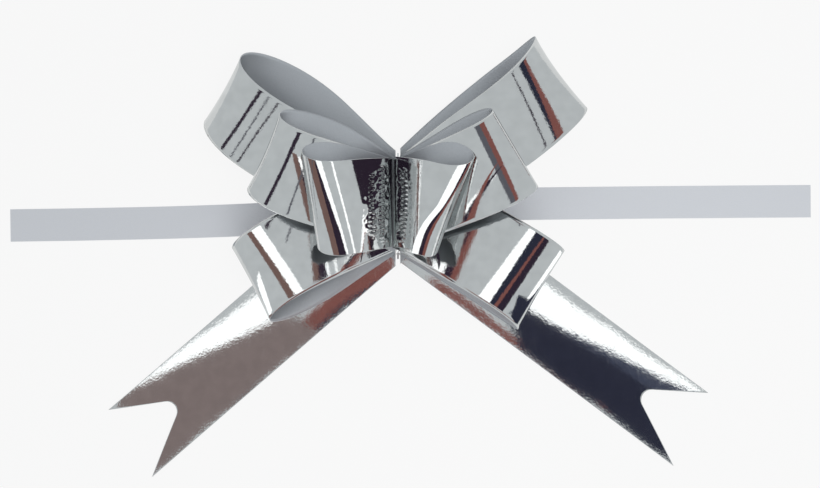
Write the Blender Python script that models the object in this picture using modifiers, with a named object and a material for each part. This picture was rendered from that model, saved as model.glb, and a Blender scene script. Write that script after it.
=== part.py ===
"""Butterfly pull bow of metallised film, gathered and laid face up.

Two wide bands, left and right, are heat-sealed to each other at five welds. Between two
welds each band makes a loop; behind the rear weld it ends in a fishtail. Two narrow pull
ribbons run side by side through a tunnel in the welds and leave the bow at its back.

+Z points out of the bow's face, +Y is its top. The Z axis is the gather's axis, and the
origin is on the underside of the pull ribbons, where the bow rests on the parcel.
"""
import math

import bmesh
import bpy

MM = 0.001

# Film and ribbons, millimetres
BAND_WIDTH = 50.0
FILM = 0.4
RIBBON_WIDTH = 20.5
RIBBON_THICK = 0.5
LOOP_STATIONS = 61

# Gather: the film starts this far from the middle plane, clear of the welds
SEAM_OFFSET = 1.6

# Welds: half length along Y, and the heights of the lower and upper edge
WELDS = {
    "rear_weld": (33.0, 2.6, 5.8),
    "large_lower_weld": (29.0, 8.6, 12.0),
    "lower_medium_weld": (28.0, 15.6, 19.0),
    "medium_small_weld": (26.5, 22.6, 26.0),
    "front_weld": (25.0, 31.4, 36.4),
}
WELD_HALF_THICK = 0.4
TUNNEL_WALL = 0.35
TUNNEL_CLEARANCE = 0.3
TUNNEL_SHOULDER = 2.5

# Where the back run of a loop leaves its weld, and where the front run comes back
LAYER_HEIGHTS = {
    "large": (6.0, 11.4),
    "lower": (13.4, 18.6),
    "medium": (20.4, 25.4),
    "small": (27.6, 37.0),
}

# Loops, millimetres and degrees:
#   reach   furthest distance of the band's middle line from the gather
#   thick   height scale of the teardrop, blunt how late it opens
#   slope   rise of the loop along its reach, bow its extra rise at mid reach
#   back, front   direction of the back and the front run, up from the X axis
#   turn, skew    direction of the folds across the outer end, and how it fans
#   bank    tilt of the outer end across the band
LOOPS = {
    "large_loop_left": dict(
        side=-1, reach=122.9, thick=35.6, blunt=2.5, slope=0.09, bow=1.4,
        back=43.6, front=26.3, turn=38.6, skew=1.35, bank=13.0),
    "large_loop_right": dict(
        side=1, reach=124.3, thick=37.6, blunt=2.25, slope=0.06, bow=7.3,
        back=46.0, front=35.0, turn=28.6, skew=-2.5, bank=-8.4),
    "lower_loop_left": dict(
        side=-1, reach=93.9, thick=21.6, blunt=2.6, slope=0.20, bow=3.6,
        back=-34.2, front=-25.6, turn=-31.7, skew=1.0, bank=-10.3),
    "lower_loop_right": dict(
        side=1, reach=93.7, thick=22.9, blunt=2.55, slope=0.25, bow=2.6,
        back=-34.7, front=-29.7, turn=-28.8, skew=-1.3, bank=4.5),
    "medium_loop_left": dict(
        side=-1, reach=76.6, thick=21.9, blunt=2.4, slope=0.28, bow=7.0,
        back=29.8, front=14.3, turn=24.4, skew=1.8, bank=-2.8),
    "medium_loop_right": dict(
        side=1, reach=70.8, thick=21.7, blunt=2.2, slope=0.32, bow=3.8,
        back=31.0, front=20.0, turn=27.9, skew=-0.4, bank=-9.6),
    "small_loop_left": dict(
        side=-1, reach=45.0, thick=14.5, blunt=0.5, slope=0.51, bow=6.8,
        back=14.5, front=-10.1, turn=-9.5, skew=0.85, bank=2.7),
    "small_loop_right": dict(
        side=1, reach=31.1, thick=14.3, blunt=0.5, slope=0.52, bow=9.3,
        back=21.4, front=-18.3, turn=-22.9, skew=0.7, bank=11.9),
}

# Tails: direction below the X axis, distances along the tail from the gather
TAILS = {
    "left": dict(side=-1, down=40.9, upper_tip=222.0, lower_tip=229.0, notch=188.0),
    "right": dict(side=1, down=36.7, upper_tip=227.0, lower_tip=237.0, notch=194.0),
}
TAIL_SHIFT = -2.4
TAIL_FOLD = 104.0
TAIL_START_HEIGHT = 2.4
TAIL_FALL = 90.0
NOTCH_RADIUS = 6.5
NOTCH_ARC_STEPS = 8
HINGE_GAP = 0.5

# Pull ribbons: the threaded stretch with its foot, and the middle lines of the free ends
CORE_TOP = 35.6
FOOT_HALF_LENGTH = 12.0
FOOT_FILLET = 2.0
FILLET_STEPS = 5
RIBBON_GAP = 0.3
RIBBON_ROUTES = {
    "left": [(-12.3, -0.8), (-22.0, -2.1), (-34.0, -3.6), (-47.0, -5.0), (-61.0, -6.3),
             (-76.0, -7.35), (-92.0, -8.2), (-109.0, -8.95), (-127.0, -9.6),
             (-145.0, -10.15), (-164.0, -10.6), (-184.0, -11.0), (-204.0, -11.4),
             (-225.0, -11.7), (-245.2, -12.0)],
    "right": [(12.3, 0.3), (22.0, 0.55), (34.0, 0.8), (48.0, 1.1), (63.0, 1.4),
              (79.0, 1.7), (96.0, 1.95), (114.0, 2.15), (133.0, 2.35), (152.0, 2.55),
              (172.0, 2.75), (193.0, 2.9), (215.0, 3.1), (238.0, 3.25), (260.9, 3.4)],
}


def clear_scene():
    for obj in list(bpy.data.objects):
        bpy.data.objects.remove(obj, do_unlink=True)


def new_collection(name):
    collection = bpy.data.collections.new(name)
    bpy.context.scene.collection.children.link(collection)
    return collection


def principled(name, rgb, roughness, metallic):
    material = bpy.data.materials.new(name)
    material.use_nodes = True
    shader = material.node_tree.nodes["Principled BSDF"]
    shader.inputs["Base Color"].default_value = (*rgb, 1.0)
    shader.inputs["Roughness"].default_value = roughness
    shader.inputs["Metallic"].default_value = metallic
    material.diffuse_color = (*rgb, 1.0)
    return material


def smooth_step(value, low, high):
    share = min(max((value - low) / (high - low), 0.0), 1.0)
    return share * share * (3.0 - 2.0 * share)


def loop_edges(spec, heights):
    """The upper and the lower edge of a loop, as points in millimetres.

    The middle line is a teardrop: angle runs from 0 at the back weld to a full turn at
    the front weld. Each station has a fold line across the band, parallel to the weld at
    both ends and square to the loop's direction at its outer end.
    """
    start, end = heights
    upper, lower = [], []
    for station in range(LOOP_STATIONS):
        angle = 2.0 * math.pi * station / (LOOP_STATIONS - 1)
        half_sine = math.sin(angle / 2.0)
        half_cosine = math.cos(angle / 2.0)
        distance = spec["reach"] * half_sine ** 2
        share = distance / spec["reach"]
        height = start + (end - start) * angle / (2.0 * math.pi)
        height += spec["slope"] * distance + spec["bow"] * math.sin(math.pi * share)
        height -= spec["thick"] / 2.0 * math.sin(angle) * abs(half_sine) ** spec["blunt"]

        turned = smooth_step(angle, 0.5 * math.pi, 1.5 * math.pi)
        heading = math.radians(spec["back"] + (spec["front"] - spec["back"]) * turned)
        fold = math.radians(spec["turn"]) * half_sine ** 2 * (1.0 + spec["skew"] * half_cosine)
        tilt = math.radians(spec["bank"]) * half_sine ** 2
        stretch = 1.0 + (1.0 / math.cos(fold - heading) - 1.0) * half_cosine ** 2
        half = BAND_WIDTH / 2.0 * stretch

        middle = (spec["side"] * (SEAM_OFFSET + distance * math.cos(heading)),
                  distance * math.sin(heading), height)
        across = (-spec["side"] * math.sin(fold) * math.cos(tilt),
                  math.cos(fold) * math.cos(tilt), math.sin(tilt))
        upper.append([m + half * a for m, a in zip(middle, across)])
        lower.append([m - half * a for m, a in zip(middle, across)])
    return upper, lower


def tail_root_edges(spec):
    """The two straight edges of a tail from the rear weld to its fold."""
    slope = math.radians(spec["down"])
    upper, lower = [], []
    steps = 9
    for edge, sign in ((upper, 1.0), (lower, -1.0)):
        across = sign * BAND_WIDTH / 2.0 + TAIL_SHIFT
        first = (SEAM_OFFSET + across * -math.sin(slope)) / math.cos(slope)
        for step in range(steps):
            along = first + (TAIL_FOLD - first) * step / (steps - 1)
            x, y = tail_place(spec, along, across)
            fall = smooth_step(along, 0.0, TAIL_FALL)
            z = TAIL_START_HEIGHT + (FILM / 2.0 - TAIL_START_HEIGHT) * fall
            edge.append((x, y, z))
    return upper, lower


def tail_place(spec, along, across):
    """A point of the tail's plane, from its distance along and across the tail."""
    slope = math.radians(spec["down"])
    x = spec["side"] * (along * math.cos(slope) + across * math.sin(slope))
    y = across * math.cos(slope) - along * math.sin(slope)
    return x, y


def fishtail_outline(spec):
    """Plan of a free tail: two straight edges, two points and a rounded notch."""
    top = BAND_WIDTH / 2.0 + TAIL_SHIFT
    bottom = -BAND_WIDTH / 2.0 + TAIL_SHIFT
    start = TAIL_FOLD + HINGE_GAP
    points = [(start, bottom), (spec["lower_tip"], bottom)]
    centre = spec["notch"] + NOTCH_RADIUS
    lean = math.atan2(BAND_WIDTH / 2.0 - NOTCH_RADIUS, spec["upper_tip"] - centre)
    for step in range(NOTCH_ARC_STEPS + 1):
        turn = -(math.pi / 2.0 + lean)
        turn -= (math.pi - 2.0 * lean) * step / NOTCH_ARC_STEPS
        points.append((centre + NOTCH_RADIUS * math.cos(turn),
                       TAIL_SHIFT + NOTCH_RADIUS * math.sin(turn)))
    points += [(spec["upper_tip"], top), (start, top)]
    return [tail_place(spec, along, across) for along, across in points]


def add_band(name, edges, collection, material):
    """A film band: the surface ruled between two edges, then given its thickness."""
    bm = bmesh.new()
    for points in edges:
        verts = [bm.verts.new([c * MM for c in point]) for point in points]
        for first, second in zip(verts, verts[1:]):
            bm.edges.new((first, second))
    bmesh.ops.bridge_loops(bm, edges=bm.edges[:])
    mesh = bpy.data.meshes.new(name)
    bm.to_mesh(mesh)
    bm.free()
    mesh.shade_smooth()
    obj = bpy.data.objects.new(name, mesh)
    collection.objects.link(obj)
    mesh.materials.append(material)
    solidify = obj.modifiers.new("film thickness", "SOLIDIFY")
    solidify.thickness = FILM * MM
    solidify.offset = 0.0
    solidify.use_even_offset = True
    return obj


def add_plate(name, outlines, thickness, collection, material):
    """A flat plate: closed outlines in its own XY plane; a second outline is a hole."""
    curve = bpy.data.curves.new(name, "CURVE")
    curve.dimensions = "2D"
    curve.fill_mode = "BOTH"
    curve.extrude = thickness / 2.0 * MM
    for outline in outlines:
        spline = curve.splines.new("POLY")
        spline.points.add(len(outline) - 1)
        for point, (x, y) in zip(spline.points, outline):
            point.co = (x * MM, y * MM, 0.0, 1.0)
        spline.use_cyclic_u = True
    obj = bpy.data.objects.new(name, curve)
    collection.objects.link(obj)
    curve.materials.append(material)
    return obj


def weld_outlines(half_length):
    """Plan of a weld: a thin fin that swells around the tunnel for the pull ribbons."""
    slot_x = RIBBON_THICK / 2.0 + TUNNEL_CLEARANCE
    slot_y = RIBBON_WIDTH / 2.0 + TUNNEL_CLEARANCE
    wall_x = slot_x + TUNNEL_WALL
    wall_y = slot_y + TUNNEL_WALL
    quarter = [(WELD_HALF_THICK, half_length), (WELD_HALF_THICK, wall_y + TUNNEL_SHOULDER),
               (wall_x, wall_y)]
    upper_right = quarter
    lower_right = [(x, -y) for x, y in reversed(quarter)]
    lower_left = [(-x, -y) for x, y in quarter]
    upper_left = [(-x, y) for x, y in reversed(quarter)]
    outer = upper_right + lower_right + lower_left + upper_left
    slot = [(slot_x, slot_y), (slot_x, -slot_y), (-slot_x, -slot_y), (-slot_x, slot_y)]
    return [outer, slot]


def core_outline():
    """End view of the threaded ribbons: both run down and turn outwards as a foot."""
    stem = RIBBON_THICK / 2.0
    right = [(stem, CORE_TOP)]
    for step in range(FILLET_STEPS + 1):
        turn = math.pi + math.pi / 2.0 * step / FILLET_STEPS
        right.append((stem + FOOT_FILLET * (1.0 + math.cos(turn)),
                      RIBBON_THICK + FOOT_FILLET * (1.0 + math.sin(turn))))
    right += [(FOOT_HALF_LENGTH, RIBBON_THICK), (FOOT_HALF_LENGTH, 0.0)]
    return right + [(-x, z) for x, z in reversed(right)]


def ribbon_outline(route):
    """Plan of a free ribbon end: its route widened by half the width to either side."""
    half = RIBBON_WIDTH / 2.0
    one, other = [], []
    last = len(route) - 1
    for index, (x, y) in enumerate(route):
        before, after = route[max(index - 1, 0)], route[min(index + 1, last)]
        dx, dy = after[0] - before[0], after[1] - before[1]
        length = math.hypot(dx, dy)
        nx, ny = -dy / length, dx / length
        if index in (0, last):
            nx, ny = 0.0, math.copysign(1.0, dx)
        one.append((x + half * nx, y + half * ny))
        other.append((x - half * nx, y - half * ny))
    return one + other[::-1]


def build_loops(parts, film):
    for name, spec in LOOPS.items():
        heights = LAYER_HEIGHTS[name.split("_")[0]]
        add_band(name, loop_edges(spec, heights), parts, film(name))


def build_tails(parts, film):
    for side, spec in TAILS.items():
        add_band(f"tail_root_{side}", tail_root_edges(spec), parts, film(f"root_{side}"))
        name = f"tail_{side}"
        tail = add_plate(name, [fishtail_outline(spec)], FILM, parts, film(name))
        tail.location.z = FILM / 2.0 * MM


def build_welds(parts, film):
    for name, (half_length, low, high) in WELDS.items():
        weld = add_plate(name, weld_outlines(half_length), high - low, parts, film(name))
        weld.location.z = (low + high) / 2.0 * MM


def build_pull_ribbons(parts, matte):
    name = "pull_ribbon_core"
    core = add_plate(name, [core_outline()], RIBBON_WIDTH, parts, matte(name))
    core.rotation_euler.x = math.pi / 2.0
    for side, route in RIBBON_ROUTES.items():
        name = f"pull_ribbon_{side}"
        free = add_plate(name, [ribbon_outline(route)], RIBBON_THICK, parts, matte(name))
        free.location.z = RIBBON_THICK / 2.0 * MM


def main():
    clear_scene()
    parts = new_collection("pull_bow")

    def film(name):
        return principled(f"mirror film {name}", (0.72, 0.73, 0.72), 0.12, 1.0)

    def matte(name):
        return principled(f"matte film {name}", (0.55, 0.57, 0.60), 0.45, 0.6)

    build_loops(parts, film)
    build_tails(parts, film)
    build_welds(parts, film)
    build_pull_ribbons(parts, matte)


main()
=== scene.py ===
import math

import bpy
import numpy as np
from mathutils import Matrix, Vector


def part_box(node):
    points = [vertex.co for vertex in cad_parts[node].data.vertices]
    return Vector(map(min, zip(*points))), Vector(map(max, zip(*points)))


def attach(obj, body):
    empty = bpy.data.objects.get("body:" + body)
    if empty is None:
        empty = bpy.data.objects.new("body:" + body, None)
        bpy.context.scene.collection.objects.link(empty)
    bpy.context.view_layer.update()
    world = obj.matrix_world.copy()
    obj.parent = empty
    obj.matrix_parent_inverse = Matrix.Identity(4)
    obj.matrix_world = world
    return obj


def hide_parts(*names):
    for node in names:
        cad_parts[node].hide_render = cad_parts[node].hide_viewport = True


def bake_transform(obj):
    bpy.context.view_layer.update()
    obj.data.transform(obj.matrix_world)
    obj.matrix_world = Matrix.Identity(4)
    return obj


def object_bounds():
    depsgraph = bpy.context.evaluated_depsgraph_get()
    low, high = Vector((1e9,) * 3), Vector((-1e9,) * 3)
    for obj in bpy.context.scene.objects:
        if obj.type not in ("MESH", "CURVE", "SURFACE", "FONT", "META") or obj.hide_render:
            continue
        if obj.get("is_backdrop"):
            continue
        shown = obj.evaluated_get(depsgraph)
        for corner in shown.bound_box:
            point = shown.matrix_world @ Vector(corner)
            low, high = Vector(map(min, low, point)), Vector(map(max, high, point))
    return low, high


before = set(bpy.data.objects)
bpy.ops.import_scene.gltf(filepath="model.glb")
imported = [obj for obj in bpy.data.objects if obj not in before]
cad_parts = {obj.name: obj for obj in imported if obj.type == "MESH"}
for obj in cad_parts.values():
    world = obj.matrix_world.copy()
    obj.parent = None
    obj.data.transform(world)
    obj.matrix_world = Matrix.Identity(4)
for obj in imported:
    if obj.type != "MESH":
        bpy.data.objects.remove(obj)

# %% [markdown]
# # A silver butterfly pull bow
# The real bow is two wide bands of metallised film, welded to each other at five places.
# Two narrow ribbons run through a tunnel in the welds; pulling them gathers the bands
# into pairs of loops. One side of the film is a mirror and the other side is matte.
# The loaded frame holds the plain solids; this lesson builds the film around them.

MM = 0.001
cad_low, cad_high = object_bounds()
print("CAD box, mm:", [round(c / MM, 1) for c in cad_high - cad_low])


# %% [markdown]
# ## The camera
# The bow lies face up on a table, and the camera hangs straight above it, close enough
# for the raised loops to look larger than the tails. An unturned Blender camera already
# looks down the Z axis with +Y at the top, so it only needs a place.

# %% A close camera above the bow
CAMERA_PLACE = (7.5 * MM, -23.7 * MM, 375.0 * MM)
camera_data = bpy.data.cameras.new("overhead_camera")
camera_data.lens = 26.0
camera_data.sensor_width = 36.0
camera_data.clip_start = 0.01
camera = bpy.data.objects.new("overhead_camera", camera_data)
camera.location = CAMERA_PLACE
bpy.context.scene.collection.objects.link(camera)
bpy.context.scene.camera = camera
bpy.context.scene.view_settings.view_transform = "Standard"
print("camera height, mm:", CAMERA_PLACE[2] / MM)


# %% [markdown]
# ## Small helpers for node trees
# Materials and Geometry Nodes are both node trees. One helper adds a node, sets its
# properties and feeds its inputs: a socket is linked and a plain value is typed in. It
# returns the first output, because most nodes here are sums. Colours are written as on
# a paint chart, in sRGB hex, and turned to the linear values that shaders use.

# %% One way to add a node, one way to write a colour
def add_node(tree, kind, *inputs, named=None, **settings):
    """Adds a node and returns its first output; named feeds inputs by name."""
    node = tree.nodes.new(kind)
    for setting, value in settings.items():
        setattr(node, setting, value)
    for key, value in [*enumerate(inputs), *(named or {}).items()]:
        if isinstance(value, bpy.types.NodeSocket):
            tree.links.new(value, node.inputs[key])
        elif value is not None:
            node.inputs[key].default_value = value
    return node.outputs[0] if node.outputs else node


def linear(hex_colour):
    """An sRGB hex colour as linear red, green, blue and alpha."""
    parts = [int(hex_colour[i:i + 2], 16) / 255.0 for i in (1, 3, 5)]
    return [c / 12.92 if c <= 0.04045 else ((c + 0.055) / 1.055) ** 2.4 for c in parts] + [1.0]


print("mid grey as a linear value:", round(linear("#808080")[0], 3))


# %% [markdown]
# ## Mirror film
# Polypropylene film with a vapour of aluminium on one side. The metal is a true mirror,
# so the material is metallic with a low roughness. The plastic under it is never quite
# flat: a faint orange peel of about a millimetre breaks the edge of every reflection
# into a saw edge, and longer ripples bend it. Both are bumps, far below a tenth of a
# millimetre high. Handling leaves hairline scratches, which only show as duller lines.

# %% A material starts as a Principled shader with an empty tree around it
def new_material(name):
    material = bpy.data.materials.new(name)
    material.use_nodes = True
    tree = material.node_tree
    return material, tree, tree.nodes["Principled BSDF"]


PEEL_SIZE = 1.5 * MM
RIPPLE_SIZE = 7.0 * MM
SCRATCH_SPACING = 2.5 * MM


def mirror_film(name, silver, roughness, peel_height, ripple_height):
    """Vapour-coated film: a mirror with orange peel, ripples and hairline scratches."""
    material, tree, shader = new_material(name)
    place = add_node(tree, "ShaderNodeTexCoord").node.outputs["Object"]
    peel = add_node(tree, "ShaderNodeTexNoise", place,
                    named={"Scale": 1.0 / PEEL_SIZE, "Detail": 2.0, "Roughness": 0.55})
    ripple = add_node(tree, "ShaderNodeTexNoise", place,
                      named={"Scale": 1.0 / RIPPLE_SIZE, "Detail": 1.0})
    low_bump = add_node(tree, "ShaderNodeBump",
                        named={"Height": ripple, "Distance": ripple_height, "Strength": 1.0})
    bump = add_node(tree, "ShaderNodeBump",
                    named={"Height": peel, "Distance": peel_height, "Strength": 1.0,
                           "Normal": low_bump})
    stretched = add_node(tree, "ShaderNodeMapping", place,
                         named={"Rotation": (0.0, 0.0, 0.6), "Scale": (1.0, 0.08, 1.0)})
    hairs = add_node(tree, "ShaderNodeTexNoise", stretched,
                     named={"Scale": 1.0 / SCRATCH_SPACING, "Detail": 4.0, "Roughness": 0.7})
    dull = add_node(tree, "ShaderNodeMapRange", hairs, 0.58, 0.72, roughness, roughness + 0.10)
    cloud = add_node(tree, "ShaderNodeMapRange", ripple, 0.3, 0.7, 0.0, 1.0)
    tone = add_node(tree, "ShaderNodeMix", data_type="RGBA",
                    named={"Factor": cloud}).node
    tone.inputs[6].default_value = linear(silver[0])
    tone.inputs[7].default_value = linear(silver[1])
    tree.links.new(tone.outputs[2], shader.inputs["Base Color"])
    tree.links.new(dull, shader.inputs["Roughness"])
    tree.links.new(bump, shader.inputs["Normal"])
    shader.inputs["Metallic"].default_value = 1.0
    return material


MIRROR = mirror_film("vapour_coated_mirror_film", ("#c9cccc", "#d0d3d3"), 0.08,
                     0.040 * MM, 0.03 * MM)
TAIL_MIRROR = mirror_film("vapour_coated_tail_film", ("#c9cccc", "#d0d3d3"), 0.12,
                          0.080 * MM, 0.10 * MM)
print("mirror films:", MIRROR.name, TAIL_MIRROR.name)


# %% [markdown]
# ## Matte film
# The back of the same film, and the pull ribbons, are the metal seen through a matte
# lacquer: a soft grey sheen with a fine sparkle. The grain is drawn at a third of a
# millimetre, coarser than the real pigment, so that it shows at all.

# %% Satin film with a fine sparkle
GRAIN_SIZE = 0.45 * MM


def matte_film(name, darker, lighter, roughness, metallic, grain_height):
    material, tree, shader = new_material(name)
    place = add_node(tree, "ShaderNodeTexCoord").node.outputs["Object"]
    grain = add_node(tree, "ShaderNodeTexNoise", place,
                     named={"Scale": 1.0 / GRAIN_SIZE, "Detail": 3.0, "Roughness": 0.6})
    fleck = add_node(tree, "ShaderNodeTexVoronoi", place, named={"Scale": 1.0 / (3 * GRAIN_SIZE)})
    lit = add_node(tree, "ShaderNodeMapRange", fleck, 0.0, 0.25, 1.0, 0.0)
    weight = add_node(tree, "ShaderNodeMath", lit, 0.25, grain, operation="MULTIPLY_ADD")
    tone = add_node(tree, "ShaderNodeMix", data_type="RGBA", named={"Factor": weight}).node
    tone.inputs[6].default_value = linear(darker)
    tone.inputs[7].default_value = linear(lighter)
    tree.links.new(tone.outputs[2], shader.inputs["Base Color"])
    rough = add_node(tree, "ShaderNodeMapRange", grain, 0.3, 0.7, roughness + 0.06, roughness - 0.06)
    tree.links.new(rough, shader.inputs["Roughness"])
    bump = add_node(tree, "ShaderNodeBump", named={"Height": grain, "Distance": grain_height})
    tree.links.new(bump, shader.inputs["Normal"])
    shader.inputs["Metallic"].default_value = metallic
    return material


INNER = matte_film("matte_lacquered_film", "#9da1a6", "#b6babe", 0.45, 0.7, 0.01 * MM)
RIBBON = matte_film("matte_lacquered_ribbon", "#b8babf", "#ced0d4", 0.5, 0.5, 0.01 * MM)
CUT_EDGE = matte_film("slit_film_edge", "#b9bcbd", "#e4e6e6", 0.3, 0.9, 0.005 * MM)
print("matte films:", INNER.name, RIBBON.name, CUT_EDGE.name)


# %% [markdown]
# ## Turning a node tree into a plain mesh
# A modifier made of nodes is convenient to build with, but a finished piece should be a
# plain mesh. The tree's inputs are set by their identifiers, the object is evaluated
# once, and the result replaces the modifier.

# %% Run a tree with named sizes and keep its mesh
def grow(name, tree, sizes, data=None):
    """A new object whose mesh is what the tree makes with these sizes."""
    obj = bpy.data.objects.new(name, data or bpy.data.meshes.new(name))
    bpy.context.scene.collection.objects.link(obj)
    modifier = obj.modifiers.new("grow", "NODES")
    modifier.node_group = tree
    for item in tree.interface.items_tree:
        if item.in_out == "INPUT" and item.name in sizes:
            modifier[item.identifier] = sizes[item.name]
    depsgraph = bpy.context.evaluated_depsgraph_get()
    mesh = bpy.data.meshes.new_from_object(obj.evaluated_get(depsgraph), depsgraph=depsgraph)
    bpy.data.objects.remove(obj)
    plain = bpy.data.objects.new(name, mesh)
    bpy.context.scene.collection.objects.link(plain)
    return plain


def new_tree(name, **sizes):
    """An empty geometry tree with named inputs; returns the tree and its input sockets."""
    tree = bpy.data.node_groups.new(name, "GeometryNodeTree")
    kinds = {float: "NodeSocketFloat", int: "NodeSocketInt", bool: "NodeSocketBool",
             str: "NodeSocketGeometry"}
    for label, value in sizes.items():
        socket = tree.interface.new_socket(name=label, in_out="INPUT",
                                           socket_type=kinds[type(value)])
        if not isinstance(value, str):
            socket.default_value = value
    tree.interface.new_socket(name="Geometry", in_out="OUTPUT", socket_type="NodeSocketGeometry")
    given = tree.nodes.new("NodeGroupInput").outputs
    return tree, given


# %% [markdown]
# ## The pull ribbons
# A flat ribbon is a path with a width. Each free end leaves the foot of the bow and lies
# on the table in one long, nearly straight sweep, and is cut square at its end. The tree
# sweeps a thin rectangle along the path, with the path's normal kept upright.

# %% A tree that sweeps flat film along a path
def ribbon_tree():
    tree, given = new_tree("ribbon_along_path", Path="", Width=0.02, Thickness=0.0004,
                           Step=0.003)
    path = add_node(tree, "GeometryNodeResampleCurve", given["Path"],
                    named={"Length": given["Step"]}, mode="LENGTH")
    upright = add_node(tree, "GeometryNodeSetCurveNormal", path, mode="Z_UP")
    section = add_node(tree, "GeometryNodeCurvePrimitiveQuadrilateral",
                       named={"Width": given["Width"], "Height": given["Thickness"]})
    swept = add_node(tree, "GeometryNodeCurveToMesh", upright,
                     named={"Profile Curve": section, "Fill Caps": True})
    flat = add_node(tree, "GeometryNodeSetShadeSmooth", swept, named={"Shade Smooth": False})
    real = add_node(tree, "GeometryNodeRealizeInstances", flat)
    done = add_node(tree, "GeometryNodeSetMaterial", real, named={"Material": RIBBON})
    add_node(tree, "NodeGroupOutput", done)
    return tree


RIBBON_TREE = ribbon_tree()
print("nodes in the ribbon tree:", len(RIBBON_TREE.nodes))

# %% Two free ends, each a path of its real length
RIBBON_WIDTH = 20.5 * MM
RIBBON_MIDDLE_HEIGHT = 0.25 * MM
RIBBON_ROUTES = {
    "left": [(-12.3, -0.8), (-22.0, -2.1), (-34.0, -3.6), (-47.0, -5.0), (-61.0, -6.3),
             (-76.0, -7.35), (-92.0, -8.2), (-109.0, -8.95), (-127.0, -9.6),
             (-145.0, -10.15), (-164.0, -10.6), (-184.0, -11.0), (-204.0, -11.4),
             (-225.0, -11.7), (-245.2, -12.0)],
    "right": [(12.3, 0.3), (22.0, 0.55), (34.0, 0.8), (48.0, 1.1), (63.0, 1.4),
              (79.0, 1.7), (96.0, 1.95), (114.0, 2.15), (133.0, 2.35), (152.0, 2.55),
              (172.0, 2.75), (193.0, 2.9), (215.0, 3.1), (238.0, 3.25), (260.9, 3.4)],
}


def path_curve(name, points):
    curve = bpy.data.curves.new(name, "CURVE")
    curve.dimensions = "3D"
    spline = curve.splines.new("POLY")
    spline.points.add(len(points) - 1)
    for point, place in zip(spline.points, points):
        point.co = (*place, 1.0)
    return curve


for side, route in RIBBON_ROUTES.items():
    path = [(x * MM, y * MM, RIBBON_MIDDLE_HEIGHT) for x, y in route]
    name = f"pull_ribbon_{side}_film"
    ribbon = grow(name, RIBBON_TREE, {"Width": RIBBON_WIDTH, "Thickness": 0.4 * MM},
                  path_curve(name, path))
    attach(ribbon, "base")
    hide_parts(f"pull_ribbon_{side}")
    measured = sum(math.dist(a, b) for a, b in zip(path, path[1:]))
    print(side, "ribbon, mm:", round(measured / MM, 1), "faces:", len(ribbon.data.polygons))


# %% [markdown]
# ## Film from rows of points
# Tails and the threaded ribbon are single sheets of film. Each is a grid of points laid
# out by a rule, joined into quads, and given its thickness by a Solidify modifier, which
# also puts the matte lacquer on the back and the slit edge on the rim.

# %% Sheets with a mirror side, a matte side and a rim
FILM_THICKNESS = 0.3 * MM


def sheet_object(name, rows, flip=False):
    """A grid of quads through an array of points, rows by columns by 3, in metres."""
    count_along, count_across = rows.shape[:2]
    ids = np.arange(count_along * count_across).reshape(count_along, count_across)
    quads = np.stack([ids[:-1, :-1], ids[1:, :-1], ids[1:, 1:], ids[:-1, 1:]], -1).reshape(-1, 4)
    if flip:
        quads = quads[:, ::-1]
    mesh = bpy.data.meshes.new(name)
    mesh.from_pydata(rows.reshape(-1, 3).tolist(), [], quads.tolist())
    mesh.shade_smooth()
    obj = bpy.data.objects.new(name, mesh)
    bpy.context.scene.collection.objects.link(obj)
    return obj


def coat(obj, face, back, offset=0.0, thickness=FILM_THICKNESS):
    """Gives a sheet its thickness, with one film on its face and another on its back."""
    obj.data.materials.clear()
    for material in (face, back, CUT_EDGE):
        obj.data.materials.append(material)
    solid = obj.modifiers.new("film thickness", "SOLIDIFY")
    solid.thickness = thickness
    solid.offset = offset
    solid.material_offset = 1
    solid.material_offset_rim = 2
    return obj


GRIDS = {}


def remember_grid(obj, columns):
    """Keeps where each point of a film lies and faces, for hanging the studio cards."""
    count = len(obj.data.vertices)
    places, normals = np.zeros(count * 3), np.zeros(count * 3)
    obj.data.vertices.foreach_get("co", places)
    obj.data.vertices.foreach_get("normal", normals)
    shape = (count // columns, columns, 3)
    GRIDS[obj.name.removesuffix("_film")] = places.reshape(shape), normals.reshape(shape)


def smooth_step(value, low, high):
    share = np.clip((value - low) / (high - low), 0.0, 1.0)
    return share * share * (3.0 - 2.0 * share)


# %% [markdown]
# ## The threaded ribbons
# Where the two pull ribbons pass through the welds they stand upright, back to back.
# Behind the rear weld each turns outwards and becomes the foot that the bow rests on.

# %% Two plies down the gather, each turning out at the foot
CORE_TOP = 35.4
PLY_OFFSET = 0.13
FOOT_END = 12.2
FOOT_BEND = 2.0


def core_ply(side):
    turn = np.linspace(0.0, math.pi / 2.0, 13)
    stem_z = np.linspace(CORE_TOP, RIBBON_MIDDLE_HEIGHT / MM + FOOT_BEND, 60)
    foot_x = np.linspace(PLY_OFFSET + FOOT_BEND, FOOT_END, 24)
    x = np.concatenate([np.full(60, PLY_OFFSET), PLY_OFFSET + FOOT_BEND * (1 - np.cos(turn)), foot_x])
    z = np.concatenate([stem_z, RIBBON_MIDDLE_HEIGHT / MM + FOOT_BEND * (1 - np.sin(turn)),
                        np.full(24, RIBBON_MIDDLE_HEIGHT / MM)])
    wave = 0.05 * np.sin(z * 1.9) * smooth_step(z, 3.0, 9.0)
    y = np.linspace(-RIBBON_WIDTH / MM / 2, RIBBON_WIDTH / MM / 2, 15)
    rows = np.zeros((len(x), len(y), 3))
    rows[..., 0] = side * (x + wave)[:, None]
    rows[..., 1] = y[None, :]
    rows[..., 2] = z[:, None]
    return rows * MM


for label, side in (("left", -1), ("right", 1)):
    ply = sheet_object(f"threaded_ribbon_{label}", core_ply(side), flip=side > 0)
    coat(ply, RIBBON, RIBBON, thickness=0.22 * MM)
    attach(ply, "base")
    if side > 0:
        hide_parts("pull_ribbon_core")
    print(ply.name, "points:", len(ply.data.vertices))


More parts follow.
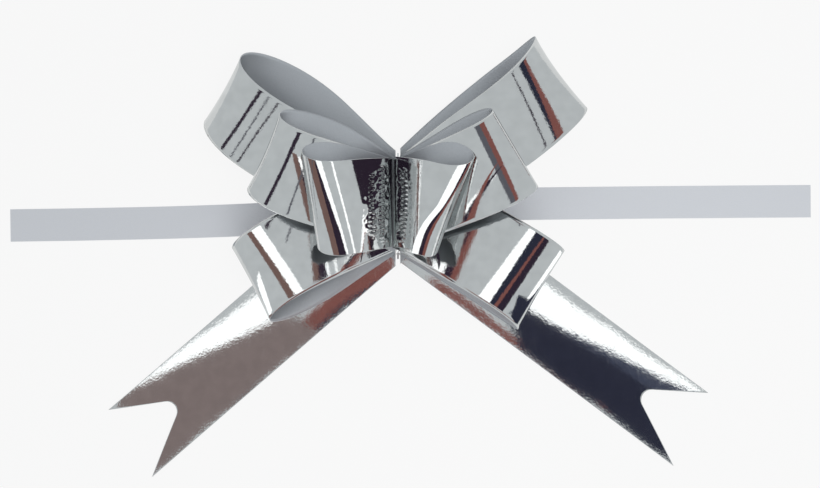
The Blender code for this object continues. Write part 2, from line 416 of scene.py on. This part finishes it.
# %% [markdown]
# ## Loops of film
# Every loop follows one rule with its own sizes, so one tree grows all eight. A flat
# grid becomes the band: its length is a full turn from the back weld round the outer
# end to the front weld, and its width is the fold line at each station. Film bends but
# doesn't stretch, so each fold line is straight. The lines are parallel to the weld at
# both ends and fan out towards the outer end, and near the weld the slanted band is cut
# longer, as it is on the real bow. A very low ripple keeps the mirror from being
# too perfect. Distance from the weld is stored for the heat seal, which comes next.

# %% The rule of a loop as a geometry tree
def loop_tree():
    tree, given = new_tree(
        "film_loop", Stations=220, Lines=25, Crowding=1.0, Side=1.0, Reach=0.1, Thick=0.03,
        Blunt=2.0, Slope=0.0, Bow=0.0, Back=0.0, Front=0.0, Turn=0.0, Skew=0.0, Bank=0.0,
        Start=0.0, End=0.0, Width=0.05, Offset=0.0016, Shift=0.0, Dip=0.0, Ripple=0.00003,
        Seed=0.0)
    math_kind = "ShaderNodeMath"
    grid = add_node(tree, "GeometryNodeMeshGrid", 1.0, 1.0, given["Stations"], given["Lines"])
    flat = add_node(tree, "ShaderNodeSeparateXYZ", add_node(tree, "GeometryNodeInputPosition"))
    left = add_node(tree, math_kind, 0.5, flat, operation="SUBTRACT")
    crowded = add_node(tree, math_kind, left, given["Crowding"], operation="POWER")
    turn = add_node(tree, math_kind, 1.0, crowded, operation="SUBTRACT")
    line = add_node(tree, math_kind, flat.node.outputs[1], given["Width"], operation="MULTIPLY")

    angle = add_node(tree, math_kind, turn, math.pi, operation="MULTIPLY")
    sine = add_node(tree, math_kind, angle, operation="SINE")
    cosine = add_node(tree, math_kind, angle, operation="COSINE")
    share = add_node(tree, math_kind, sine, sine, operation="MULTIPLY")
    back_share = add_node(tree, math_kind, cosine, cosine, operation="MULTIPLY")
    distance = add_node(tree, math_kind, share, given["Reach"], operation="MULTIPLY")

    rise = add_node(tree, "ShaderNodeMapRange", turn, 0.0, 1.0, given["Start"], given["End"])
    rise = add_node(tree, math_kind, distance, given["Slope"], rise, operation="MULTIPLY_ADD")
    half_turn = add_node(tree, math_kind, share, math.pi, operation="MULTIPLY")
    arch = add_node(tree, math_kind, half_turn, operation="SINE")
    rise = add_node(tree, math_kind, arch, given["Bow"], rise, operation="MULTIPLY_ADD")
    whole = add_node(tree, math_kind, angle, 2.0, operation="MULTIPLY")
    swing = add_node(tree, math_kind, whole, operation="SINE")
    safe = add_node(tree, math_kind, sine, 1e-6, operation="MAXIMUM")
    open_late = add_node(tree, math_kind, safe, given["Blunt"], operation="POWER")
    teardrop = add_node(tree, math_kind, swing, open_late, operation="MULTIPLY")
    half_thick = add_node(tree, math_kind, given["Thick"], -0.5, operation="MULTIPLY")
    rise = add_node(tree, math_kind, teardrop, half_thick, rise, operation="MULTIPLY_ADD")

    heading = add_node(tree, "ShaderNodeMapRange", turn, 0.25, 0.75, given["Back"],
                       given["Front"], interpolation_type="SMOOTHSTEP")
    fan = add_node(tree, math_kind, given["Skew"], cosine, 1.0, operation="MULTIPLY_ADD")
    fold = add_node(tree, math_kind, given["Turn"], share, operation="MULTIPLY")
    fold = add_node(tree, math_kind, fold, fan, operation="MULTIPLY")
    tilt = add_node(tree, math_kind, given["Bank"], share, operation="MULTIPLY")
    slant = add_node(tree, math_kind, fold, heading, operation="SUBTRACT")
    slant = add_node(tree, math_kind, slant, operation="COSINE")
    extra = add_node(tree, math_kind, 1.0, slant, operation="DIVIDE")
    extra = add_node(tree, math_kind, extra, 1.0, operation="SUBTRACT")
    stretch = add_node(tree, math_kind, extra, back_share, 1.0, operation="MULTIPLY_ADD")
    reach_across = add_node(tree, math_kind, line, stretch, operation="MULTIPLY")

    fold_sine = add_node(tree, math_kind, fold, operation="SINE")
    fold_cosine = add_node(tree, math_kind, fold, operation="COSINE")
    tilt_sine = add_node(tree, math_kind, tilt, operation="SINE")
    tilt_cosine = add_node(tree, math_kind, tilt, operation="COSINE")
    other_way = add_node(tree, math_kind, given["Side"], -1.0, operation="MULTIPLY")
    across_x = add_node(tree, math_kind, fold_sine, tilt_cosine, operation="MULTIPLY")
    across_x = add_node(tree, math_kind, across_x, other_way, operation="MULTIPLY")
    across_y = add_node(tree, math_kind, fold_cosine, tilt_cosine, operation="MULTIPLY")
    across = add_node(tree, "ShaderNodeCombineXYZ", across_x, across_y, tilt_sine)

    heading_sine = add_node(tree, math_kind, heading, operation="SINE")
    heading_cosine = add_node(tree, math_kind, heading, operation="COSINE")
    middle_x = add_node(tree, math_kind, distance, heading_cosine, given["Offset"],
                        operation="MULTIPLY_ADD")
    middle_x = add_node(tree, math_kind, middle_x, given["Side"], operation="MULTIPLY")
    middle_y = add_node(tree, math_kind, distance, heading_sine, operation="MULTIPLY")

    in_front = add_node(tree, math_kind, turn, 0.5, operation="GREATER_THAN")
    near = add_node(tree, "ShaderNodeMapRange", distance, 0.0, 0.018, 1.0, 0.0,
                    interpolation_type="SMOOTHSTEP")
    near = add_node(tree, math_kind, near, in_front, operation="MULTIPLY")
    at_seam = add_node(tree, "ShaderNodeMapRange", distance, 0.0, 0.0022, 1.0, 0.0,
                       interpolation_type="SMOOTHSTEP")
    at_seam = add_node(tree, math_kind, at_seam, in_front, operation="MULTIPLY")
    middle_x = add_node(tree, math_kind, near, given["Shift"], middle_x, operation="MULTIPLY_ADD")
    dip = add_node(tree, math_kind, at_seam, given["Dip"], operation="MULTIPLY")
    middle_z = add_node(tree, math_kind, rise, dip, operation="SUBTRACT")
    middle = add_node(tree, "ShaderNodeCombineXYZ", middle_x, middle_y, middle_z)
    place = add_node(tree, "ShaderNodeVectorMath", across, reach_across, middle,
                     operation="MULTIPLY_ADD")

    kept = add_node(tree, "GeometryNodeStoreNamedAttribute", grid, data_type="FLOAT2",
                    domain="CORNER", named={"Name": "UVMap", "Value": grid.node.outputs["UV Map"]})
    seal = add_node(tree, "ShaderNodeCombineXYZ", distance, line, in_front)
    kept = add_node(tree, "GeometryNodeStoreNamedAttribute", kept, data_type="FLOAT_VECTOR",
                    domain="POINT", named={"Name": "seal_place", "Value": seal})
    band = add_node(tree, "GeometryNodeSetPosition", kept, named={"Position": place})
    noise = add_node(tree, "ShaderNodeTexNoise", noise_dimensions="4D",
                     named={"W": given["Seed"], "Scale": 1.0 / 0.02, "Detail": 1.0})
    centred = add_node(tree, math_kind, noise, 0.5, operation="SUBTRACT")
    height = add_node(tree, math_kind, centred, given["Ripple"], operation="MULTIPLY")
    normal = add_node(tree, "GeometryNodeInputNormal")
    lift = add_node(tree, "ShaderNodeVectorMath", normal, operation="SCALE",
                    named={"Scale": height})
    band = add_node(tree, "GeometryNodeSetPosition", band, named={"Offset": lift})
    mirrored = add_node(tree, math_kind, given["Side"], 0.0, operation="GREATER_THAN")
    band = add_node(tree, "GeometryNodeFlipFaces", band, named={"Selection": mirrored})
    band = add_node(tree, "GeometryNodeSetShadeSmooth", band)
    band = add_node(tree, "GeometryNodeRealizeInstances", band)
    band = add_node(tree, "GeometryNodeSetMaterial", band, named={"Material": MIRROR})
    add_node(tree, "NodeGroupOutput", band)
    return tree


LOOP_TREE = loop_tree()
print("nodes in the loop tree:", len(LOOP_TREE.nodes))

# %% Sizes of the eight loops, in millimetres and degrees
LAYER_HEIGHTS = {"large": (6.0, 11.4), "lower": (13.4, 18.6), "medium": (20.4, 25.4),
                 "small": (27.6, 37.0)}
LOOPS = {
    "large_loop_left": dict(Side=-1, Reach=122.9, Thick=35.6, Blunt=2.5, Slope=0.09, Bow=1.4,
                            Back=43.6, Front=26.3, Turn=38.6, Skew=1.35, Bank=13.0),
    "large_loop_right": dict(Side=1, Reach=124.3, Thick=37.6, Blunt=2.25, Slope=0.06, Bow=7.3,
                             Back=46.0, Front=35.0, Turn=28.6, Skew=-2.5, Bank=-8.4),
    "lower_loop_left": dict(Side=-1, Reach=93.9, Thick=21.6, Blunt=2.6, Slope=0.20, Bow=3.6,
                            Back=-34.2, Front=-25.6, Turn=-31.7, Skew=1.0, Bank=-10.3),
    "lower_loop_right": dict(Side=1, Reach=93.7, Thick=22.9, Blunt=2.55, Slope=0.25, Bow=2.6,
                             Back=-34.7, Front=-29.7, Turn=-28.8, Skew=-1.3, Bank=4.5),
    "medium_loop_left": dict(Side=-1, Reach=76.6, Thick=21.9, Blunt=2.4, Slope=0.28, Bow=7.0,
                             Back=29.8, Front=14.3, Turn=24.4, Skew=1.8, Bank=-2.8),
    "medium_loop_right": dict(Side=1, Reach=70.8, Thick=21.7, Blunt=2.2, Slope=0.32, Bow=3.8,
                              Back=31.0, Front=20.0, Turn=27.9, Skew=-0.4, Bank=-9.6),
    "small_loop_left": dict(Side=-1, Reach=45.0, Thick=14.5, Blunt=0.5, Slope=0.51, Bow=6.8,
                            Back=14.5, Front=-10.1, Turn=-9.5, Skew=0.85, Bank=2.7,
                            Shift=-1.1, Dip=1.6),
    "small_loop_right": dict(Side=1, Reach=31.1, Thick=14.3, Blunt=0.5, Slope=0.52, Bow=9.3,
                             Back=21.4, Front=-18.3, Turn=-22.9, Skew=0.7, Bank=11.9,
                             Shift=-3.7, Dip=1.6),
}
LENGTHS = ("Reach", "Thick", "Bow", "Shift", "Dip")
ANGLES = ("Back", "Front", "Turn", "Bank")


LOOP_LINES = 25


def loop_sizes(name, spec):
    """A loop's sizes as the tree takes them, in metres and radians."""
    low, high = LAYER_HEIGHTS[name.split("_")[0]]
    sizes = {key: float(value) for key, value in spec.items()}
    sizes.update({key: spec[key] * MM for key in LENGTHS if key in spec})
    sizes.update({key: math.radians(spec[key]) for key in ANGLES})
    sizes.update({"Start": low * MM, "End": high * MM, "Seed": sum(map(ord, name)) / 10.0})
    return sizes


# %% [markdown]
# ## The heat seal
# Hot jaws press the two bands together at the gather. The front pair of loops shows the
# mark: a tall panel of crushed film with rungs from the jaws, pleats at its top, and the
# bands dipping into a groove where they meet. The bump of a material can't show this
# much relief, so a second tree pushes the mesh itself in and out. It reads the distance
# from the weld and the place across the band that the first tree stored.

# %% A tree that presses rungs and creases into the front of a band
def seal_tree():
    tree, given = new_tree("heat_seal", Band="", Length=0.015, Half=0.021, Rung=0.0024,
                           Column=0.006, Rungs=0.0006, Crush=0.0011, Crease=0.0035, Clear=0.001, Seed=0.0)
    math_kind = "ShaderNodeMath"
    stored = add_node(tree, "GeometryNodeInputNamedAttribute", data_type="FLOAT_VECTOR",
                      named={"Name": "seal_place"})
    split = add_node(tree, "ShaderNodeSeparateXYZ", stored)
    along, across, front = split.node.outputs
    away = add_node(tree, math_kind, along, given["Length"], operation="DIVIDE")
    aside = add_node(tree, math_kind, across, given["Half"], operation="DIVIDE")
    away_power = add_node(tree, math_kind, away, 2.0, operation="POWER")
    aside_size = add_node(tree, math_kind, aside, operation="ABSOLUTE")
    aside_power = add_node(tree, math_kind, aside_size, 4.0, operation="POWER")
    edge = add_node(tree, math_kind, away_power, aside_power, operation="ADD")
    panel = add_node(tree, "ShaderNodeMapRange", edge, 0.75, 1.05, 1.0, 0.0,
                     interpolation_type="SMOOTHSTEP")
    panel = add_node(tree, math_kind, panel, front, operation="MULTIPLY")
    clear = add_node(tree, "ShaderNodeMapRange", along, given["Clear"], given["Clear"], 0.0, 1.0,
                     interpolation_type="SMOOTHSTEP")
    clear_end = add_node(tree, math_kind, given["Clear"], 3.0, operation="MULTIPLY")
    tree.links.new(clear_end, clear.node.inputs["From Max"])
    panel = add_node(tree, math_kind, panel, clear, operation="MULTIPLY")

    phase = add_node(tree, math_kind, across, given["Rung"], operation="DIVIDE")
    phase = add_node(tree, math_kind, phase, 2.0 * math.pi, operation="MULTIPLY")
    wave = add_node(tree, math_kind, phase, operation="SINE")
    column_phase = add_node(tree, math_kind, along, given["Column"], operation="DIVIDE")
    column_phase = add_node(tree, math_kind, column_phase, 2.0 * math.pi, operation="MULTIPLY")
    column = add_node(tree, math_kind, column_phase, operation="COSINE")
    column = add_node(tree, "ShaderNodeMapRange", column, 0.0, 0.6, 0.0, 1.0,
                      interpolation_type="SMOOTHSTEP")
    rungs = add_node(tree, math_kind, wave, column, operation="MULTIPLY")
    rungs = add_node(tree, math_kind, rungs, given["Rungs"], operation="MULTIPLY")

    crease = add_node(tree, math_kind, 1.0, given["Crease"], operation="DIVIDE")
    cells = add_node(tree, "ShaderNodeTexVoronoi", stored, voronoi_dimensions="4D",
                     feature="F1", named={"W": given["Seed"], "Scale": crease})
    cells = add_node(tree, math_kind, cells, 0.5, operation="SUBTRACT")
    soft = add_node(tree, "ShaderNodeTexNoise", stored, noise_dimensions="4D",
                    named={"W": given["Seed"], "Scale": crease, "Detail": 2.0})
    soft = add_node(tree, math_kind, soft, 0.5, operation="SUBTRACT")
    crush = add_node(tree, math_kind, cells, soft, operation="ADD")
    height = add_node(tree, math_kind, crush, given["Crush"], rungs, operation="MULTIPLY_ADD")
    height = add_node(tree, math_kind, height, panel, operation="MULTIPLY")
    lift = add_node(tree, "ShaderNodeVectorMath", add_node(tree, "GeometryNodeInputNormal"),
                    operation="SCALE", named={"Scale": height})
    pressed = add_node(tree, "GeometryNodeSetPosition", given["Band"], named={"Offset": lift})
    pressed = add_node(tree, "GeometryNodeSetShadeSmooth", pressed)
    real = add_node(tree, "GeometryNodeRealizeInstances", pressed)
    done = add_node(tree, "GeometryNodeSetMaterial", real, named={"Material": MIRROR})
    add_node(tree, "NodeGroupOutput", done)
    return tree


SEAL_TREE = seal_tree()
print("nodes in the seal tree:", len(SEAL_TREE.nodes))

# %% Grow the loops, and press the seal into the front pair
SEALS = {
    "small_loop_left": dict(Length=16.5 * MM, Half=22.0 * MM, Seed=3.0),
    "small_loop_right": dict(Length=7.5 * MM, Half=21.0 * MM, Seed=8.0),
}
for name, spec in LOOPS.items():
    sizes = loop_sizes(name, spec)
    if name in SEALS:
        sizes.update({"Stations": 200, "Lines": 150, "Crowding": 1.6})
    band = grow(f"{name}_film", LOOP_TREE, sizes)
    remember_grid(band, sizes.get("Lines", LOOP_LINES))
    if name in SEALS:
        smooth = band
        band = grow(f"{name}_film", SEAL_TREE, SEALS[name], smooth.data)
        bpy.data.objects.remove(smooth)
        band.name = f"{name}_film"
    coat(band, MIRROR, INNER)
    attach(band, name)
    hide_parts(name)
    print(band.name, "faces:", len(band.data.polygons))


# %% [markdown]
# ## The tails
# Each band ends in a fishtail. The tail is one sheet from the rear weld to its two
# points, so it is one grid: every row runs from the root to the cut end, and the cut end
# is a rule of the place across the band, two straight slopes and a round notch. The
# sheet isn't flat: film off a roll keeps a slight arch across its width, and its points
# lift a little from the table.

# %% Where a point of a tail lies, and where the film is cut
BAND_HALF = 25.0
TAIL_SHIFT = -2.4
TAIL_START_HEIGHT = 2.4
TAIL_FALL = 90.0
NOTCH_RADIUS = 6.5
SEAM_OFFSET = 1.6
TAILS = {
    "left": dict(side=-1, down=40.9, upper_tip=222.0, lower_tip=229.0, notch=188.0),
    "right": dict(side=1, down=36.7, upper_tip=227.0, lower_tip=237.0, notch=194.0),
}


def cut_end(spec, across):
    """How far along the tail the film is cut, for places across it from -25 to 25 mm."""
    centre = spec["notch"] + NOTCH_RADIUS
    tips = np.where(across > 0.0, spec["upper_tip"], spec["lower_tip"])
    away = np.abs(across)
    lean = np.arctan2(BAND_HALF - NOTCH_RADIUS, tips - centre)
    touch = NOTCH_RADIUS * np.cos(lean)
    start = centre - NOTCH_RADIUS * np.sin(lean)
    round_part = centre - np.sqrt(np.maximum(NOTCH_RADIUS ** 2 - away ** 2, 0.0))
    straight = start + (tips - start) * (away - touch) / (BAND_HALF - touch)
    return np.where(away < touch, round_part, straight)


TAIL_LINES = 57


def tail_rows(spec, arch, tip_lift, along_count=190, across_count=TAIL_LINES):
    down = math.radians(spec["down"])
    across = np.sin(np.linspace(-1.0, 1.0, across_count) * 1.2) / math.sin(1.2) * BAND_HALF
    shifted = across + TAIL_SHIFT
    root = (SEAM_OFFSET - shifted * math.sin(down)) / math.cos(down)
    end = cut_end(spec, across)
    share = np.linspace(0.0, 1.0, along_count)[:, None]
    along = root + (end - root) * share
    across = np.broadcast_to(across, along.shape)
    shifted = np.broadcast_to(shifted, along.shape)
    height = TAIL_START_HEIGHT + (0.3 - TAIL_START_HEIGHT) * smooth_step(along, 0.0, TAIL_FALL)
    height += arch * (1.0 - (across / BAND_HALF) ** 2) * smooth_step(along, 5.0, 70.0)
    height += tip_lift * smooth_step(along, spec["notch"] - 30.0, spec["lower_tip"]) ** 2
    height += 0.12 * np.sin(along / 9.0 + across / 14.0) * smooth_step(along, 40.0, 120.0)
    x = spec["side"] * (along * math.cos(down) + shifted * math.sin(down))
    y = shifted * math.cos(down) - along * math.sin(down)
    return np.stack([x, y, height], -1) * MM


# %% Lay both tails, bending at the fold where they leave the bow
ARCH = 2.2
TIP_LIFT = 1.5
for label, spec in TAILS.items():
    tail = sheet_object(f"tail_{label}_film", tail_rows(spec, ARCH, TIP_LIFT),
                        flip=spec["side"] < 0)
    remember_grid(tail, TAIL_LINES)
    coat(tail, TAIL_MIRROR, INNER, offset=-1.0)
    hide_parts(f"tail_root_{label}", f"tail_{label}")
    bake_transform(tail)
    print(tail.name, "faces:", len(tail.data.polygons))


# %% [markdown]
# ## The welds
# Between two layers the bands are fused into a narrow fin. The jaws leave it ribbed from
# side to side. The fins carry the film's finish, and the ribs are one small rounded bar,
# repeated along both faces by a tree.

# %% Ribs along a weld
def rib_tree():
    tree, given = new_tree("weld_ribs", Count=20, Step=0.0024, Low=0.0, Height=0.003,
                           Out=0.0006, Thick=0.0005, Long=0.0012)
    math_kind = "ShaderNodeMath"
    lines = []
    for side in (-1.0, 1.0):
        x = add_node(tree, math_kind, given["Out"], side, operation="MULTIPLY")
        last = add_node(tree, math_kind, given["Count"], 1.0, operation="SUBTRACT")
        reach = add_node(tree, math_kind, last, given["Step"], operation="MULTIPLY")
        y = add_node(tree, math_kind, reach, -0.5, operation="MULTIPLY")
        z = add_node(tree, math_kind, given["Height"], 0.5, given["Low"],
                     operation="MULTIPLY_ADD")
        start = add_node(tree, "ShaderNodeCombineXYZ", x, y, z)
        step = add_node(tree, "ShaderNodeCombineXYZ", 0.0, given["Step"], 0.0)
        lines.append(add_node(tree, "GeometryNodeMeshLine", mode="OFFSET",
                              named={"Count": given["Count"], "Start Location": start,
                                     "Offset": step}))
    places = add_node(tree, "GeometryNodeJoinGeometry")
    for line in lines:
        tree.links.new(line, places.node.inputs[0])
    size = add_node(tree, "ShaderNodeCombineXYZ", given["Thick"], given["Long"], given["Height"])
    bar = add_node(tree, "GeometryNodeMeshCube", size, 2, 3, 2)
    ribs = add_node(tree, "GeometryNodeInstanceOnPoints", places, named={"Instance": bar})
    real = add_node(tree, "GeometryNodeRealizeInstances", ribs)
    done = add_node(tree, "GeometryNodeSetMaterial", real, named={"Material": MIRROR})
    add_node(tree, "NodeGroupOutput", done)
    return tree


RIB_TREE = rib_tree()
WELD_BODIES = {"rear_weld": "base", "large_lower_weld": "lower_layer",
               "lower_medium_weld": "medium_layer", "medium_small_weld": "front_layer",
               "front_weld": "front_layer"}
RIB_STEP = 2.4 * MM
for weld, body in WELD_BODIES.items():
    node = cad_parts[weld]
    node.data.materials.clear()
    node.data.materials.append(MIRROR)
    low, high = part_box(weld)
    count = int((high.y - low.y) / RIB_STEP) - 1
    ribs = grow(f"{weld}_ribs", RIB_TREE, {
        "Count": count, "Step": RIB_STEP, "Low": low.z + 0.2 * MM,
        "Height": high.z - low.z - 0.4 * MM, "Out": high.x})
    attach(ribs, body)
    print(ribs.name, "ribs:", 2 * count)


# %% [markdown]
# ## Table, light and what the mirrors see
# Polished film has no look of its own: it shows the room. The room here is pale on all
# sides, with white soft boxes, and a dark figure stands at the near side of the table,
# in navy and red-brown. Cards stand for all of them. The camera doesn't see the cards, and
# they cast no shadow; they only show in the film. The table glows a little, so that it
# stays an even, pale ground.

# %% A pale table
def glow(name, colour, strength, matte=0.0):
    material, tree, shader = new_material(name)
    shader.inputs["Base Color"].default_value = [matte, matte, matte, 1.0]
    shader.inputs["Roughness"].default_value = 0.9
    shader.inputs["Specular IOR Level"].default_value = 0.0
    shader.inputs["Emission Color"].default_value = linear(colour)
    shader.inputs["Emission Strength"].default_value = strength
    return material


TABLE_HALF = 3.0
table_mesh = bpy.data.meshes.new("table")
corners = [(-TABLE_HALF, -TABLE_HALF), (TABLE_HALF, -TABLE_HALF), (TABLE_HALF, TABLE_HALF),
           (-TABLE_HALF, TABLE_HALF)]
table_mesh.from_pydata([(x, y, cad_low.z - 0.2 * MM) for x, y in corners], [], [(0, 1, 2, 3)])
table = bpy.data.objects.new("table", table_mesh)
bpy.context.scene.collection.objects.link(table)
table_mesh.materials.append(glow("pale_table", "#f5f5f5", 0.97, matte=0.04))
table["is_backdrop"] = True

world = bpy.data.worlds.new("pale_room")
world.use_nodes = True
world.node_tree.nodes["Background"].inputs["Color"].default_value = linear("#e5e8ea")
world.node_tree.nodes["Background"].inputs["Strength"].default_value = 0.9
bpy.context.scene.world = world
print("table and room ready")

# %% [markdown]
# Whoever lights a shiny object decides which stretch of it a card should show in, and
# then hangs the card there. The mirror law does the same: from the camera to a point of
# the film, off the film, and on for a short way. Each card is given by its two edges as
# they show in the film. A card's back can be seen through, so that other films show
# less of it.

# %% Hang a card where the film shows it
OVERRUN = 0.15
SAMPLES = (0.2, 0.8)


def seen_in_film(piece, along, across, distance):
    """The point that the camera sees mirrored in the film, a distance away from it."""
    places, normals = GRIDS[piece]
    row = min(max(along, 0.0), 0.999) * (len(places) - 1)
    column = min(max(across, 0.02), 0.98) * (places.shape[1] - 1)
    first, side = int(row), int(round(column))
    part = row - first
    place = Vector(places[first, side] * (1.0 - part) + places[first + 1, side] * part)
    normal = Vector(normals[first, side] * (1.0 - part) + normals[first + 1, side] * part)
    normal.normalize()
    sight = (place - camera.location).normalized()
    return place + distance * (sight - 2.0 * sight.dot(normal) * normal)


def one_sided(material):
    """Lets the back of a card be seen through, so that other films show less of it."""
    tree = material.node_tree
    back = add_node(tree, "ShaderNodeNewGeometry").node.outputs["Backfacing"]
    front = add_node(tree, "ShaderNodeMath", 1.0, back, operation="SUBTRACT")
    tree.links.new(front, tree.nodes["Principled BSDF"].inputs["Alpha"])
    return material


def card_edge(piece, start, end, distance):
    """Both ends of a card's edge, run on a little past the film."""
    near, far = [seen_in_film(piece, start[0] + (end[0] - start[0]) * t,
                              start[1] + (end[1] - start[1]) * t, distance) for t in SAMPLES]
    step = (far - near) / (SAMPLES[1] - SAMPLES[0])
    return near - step * (SAMPLES[0] + OVERRUN), far + step * (1.0 + OVERRUN - SAMPLES[1])


def studio_card(name, piece, distance, edges, colour, strength=1.0):
    (a, b), (c, d) = [card_edge(piece, *edge, distance) for edge in edges]
    mesh = bpy.data.meshes.new(name)
    faces_film = (b - a).cross(c - a).dot(Vector(GRIDS[piece][0].mean(axis=(0, 1))) - a) > 0.0
    order = (0, 1, 2, 3) if faces_film else (3, 2, 1, 0)
    mesh.from_pydata([a, b, d, c], [], [order])
    card = bpy.data.objects.new(name, mesh)
    bpy.context.scene.collection.objects.link(card)
    mesh.materials.append(one_sided(glow(name, colour, strength)))
    card.visible_camera = False
    card.visible_shadow = False
    card.visible_diffuse = False
    card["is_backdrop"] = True


# %% [markdown]
# On a loop, a band is told by how far it starts from the turn and how wide it is, in
# whole millimetres of film, once at the upper rim and once at the lower rim. The turn is
# the place that lies furthest from the gather. Dark cards over the seal make its rungs
# and creases stand out.

# %% Cards over the loops, in millimetres of film from the loop's own turn
BLACK, NAVY, BROWN, RED_BROWN = "#3a2f3e", "#353748", "#886c66", "#96605a"
BLUE, UMBER, DUSK, WHITE = "#4c5165", "#968684", "#6c6c74", "#ffffff"
SOFT_BOX = 1.8
CARD_DISTANCE = {"large": 20, "medium": 15, "lower": 15, "small": 8}


def share_past_turn(piece, rim, inset):
    """The share along a loop that lies an inset past its turn, along one of its rims."""
    places = GRIDS[piece][0]
    line = places[:, int((places.shape[1] - 1) * rim)]
    turn = int(np.argmax(np.hypot(line[:, 0], line[:, 1])))
    film = np.concatenate([[0.0], np.cumsum(np.linalg.norm(np.diff(line, axis=0), axis=1))])
    return float(np.interp(film[turn] + inset * MM, film, np.linspace(0.0, 1.0, len(film))))


# kind, colour, how far the band starts from the turn and how wide it is, at each rim
LOOP_BANDS = {
    "large_loop_left": [("sleeve", BLACK, (28, 2), (28, 2)), ("cable", DUSK, (34, 1), (36, 1)),
                        ("cord", BLACK, (40, 1), (41, 1))],
    "medium_loop_left": [("sleeve", BLACK, (18, 2), (17, 2)), ("cable", DUSK, (27, 1), (31, 1))],
    "small_loop_left": [("hand", BROWN, (10, 4), (11, 3)), ("sleeve", BLACK, (14, 1), (14, 4)),
                        ("softbox", WHITE, (15, 3), (18, 1)), ("strip", WHITE, (23, 1), (22, 1))],
    "large_loop_right": [("hand", RED_BROWN, (27, 2), (28, 6)), ("sleeve", NAVY, (29, 5), (34, 1)),
                         ("cable", BLACK, (40, 1), (41, 1))],
    "medium_loop_right": [("hand", RED_BROWN, (14, 3), (15, 2)), ("shade", DUSK, (17, 3), (17, 3))],
    "small_loop_right": [("hand", RED_BROWN, (8, 1), (9, 2)), ("sleeve", BLACK, (9, 1), (11, 3)),
                         ("softbox", WHITE, (10, 5), (14, 4))],
    "lower_loop_left": [("hand", BROWN, (16, 3), (18, 4)), ("softbox", WHITE, (19, 6), (22, 5))],
    "lower_loop_right": [("sleeve", BLACK, (12, 3), (18, 4)), ("hand", RED_BROWN, (15, 1), (22, 2)),
                         ("dress", NAVY, (16, 5), (24, 3)), ("softbox", WHITE, (21, 4), (27, 7))],
}
PHONE_STARTS = {"small_loop_left": 34, "small_loop_right": 42}
PHONE_END, PHONE_DISTANCE, PHONE_STRENGTH = 60, 18, 0.8
for piece, bands in LOOP_BANDS.items():
    distance = CARD_DISTANCE[piece.split("_")[0]] * MM
    for kind, colour, (top, top_width), (bottom, bottom_width) in bands:
        edges = [((share_past_turn(piece, 1.0, top + top_width * part), 1.0),
                  (share_past_turn(piece, 0.0, bottom + bottom_width * part), 0.0))
                 for part in (0.0, 1.0)]
        strength = SOFT_BOX if colour == WHITE else 1.0
        studio_card(f"{kind}_{piece}", piece, distance, edges, colour, strength)
for piece, start in PHONE_STARTS.items():
    edges = [((share_past_turn(piece, 1.0, inset), 1.0), (share_past_turn(piece, 0.0, inset), 0.0))
             for inset in (start, PHONE_END)]
    studio_card(f"phone_{piece}", piece, PHONE_DISTANCE * MM, edges, BLACK,
                PHONE_STRENGTH)
print("bands over the loops:", sum(map(len, LOOP_BANDS.values())))

# %% [markdown]
# A tail is nearly flat, so its bands run slantwise over it. Each edge of a band is told
# by its two ends.

# %% Cards over the tails: places are tenths of the tail's length and of its width
TENTH = 0.1
TAIL_DISTANCE = 60
TAIL_BANDS = {
    "tail_left": [("softbox", WHITE, ((5, 8), (9, 10)), ((6, 5), (9, 9))),
                  ("dress", UMBER, ((6, 5), (9, 9)), ((4, 0), (10, 0))),
                  ("hand", RED_BROWN, ((1, 3), (6, 3)), ((1, 1), (6, 1))),
                  ("sleeve", NAVY, ((1, 1), (6, 1)), ((1, 0), (6, 0)))],
    "tail_right": [("softbox", WHITE, ((5, 8), (9, 9)), ((6, 5), (10, 8))),
                   ("dress", BLUE, ((6, 5), (10, 8)), ((5, 4), (10, 6))),
                   ("skirt", NAVY, ((5, 5), (10, 6)), ((5, 0), (10, 0))),
                   ("hand", RED_BROWN, ((2, 2), (7, 1)), ((2, 0), (6, 0)))],
}
for piece, bands in TAIL_BANDS.items():
    for kind, colour, *edges in bands:
        edges = [[(along * TENTH, across * TENTH) for along, across in edge] for edge in edges]
        strength = SOFT_BOX if colour == WHITE else 1.0
        studio_card(f"{kind}_{piece}", piece, TAIL_DISTANCE * MM, edges, colour, strength)
print("bands over the tails:", sum(map(len, TAIL_BANDS.values())))

# %% [markdown]
# One large lamp lights the matte film. The mirrors don't show it, since the cards are
# what they see.

# %% A lamp over the bow
key_data = bpy.data.lights.new("overhead_softbox", "AREA")
key_data.shape = "RECTANGLE"
key_data.size, key_data.size_y = 0.9, 0.5
key_data.energy = 7.0
key = bpy.data.objects.new("overhead_softbox", key_data)
BOW_MIDDLE = Vector((0.0, 0.0, 20.0 * MM))
key.location = (0.28, -0.2, 0.85)
key.rotation_mode = "QUATERNION"
key.rotation_quaternion = (BOW_MIDDLE - key.location).to_track_quat("-Z", "Y")
bpy.context.scene.collection.objects.link(key)
key.visible_glossy = False
print("lamp at", tuple(round(c, 2) for c in key.location))


# %% [markdown]
# ## Measure
# The looks are meant to stay in the box of the solids, so the script prints how far they grow past it on
# each side.

# %% Print how far the looks grow past the box of the solids
low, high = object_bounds()
print("grown below, mm:", [round(c / MM, 1) for c in cad_low - low])
print("grown above, mm:", [round(c / MM, 1) for c in high - cad_high])
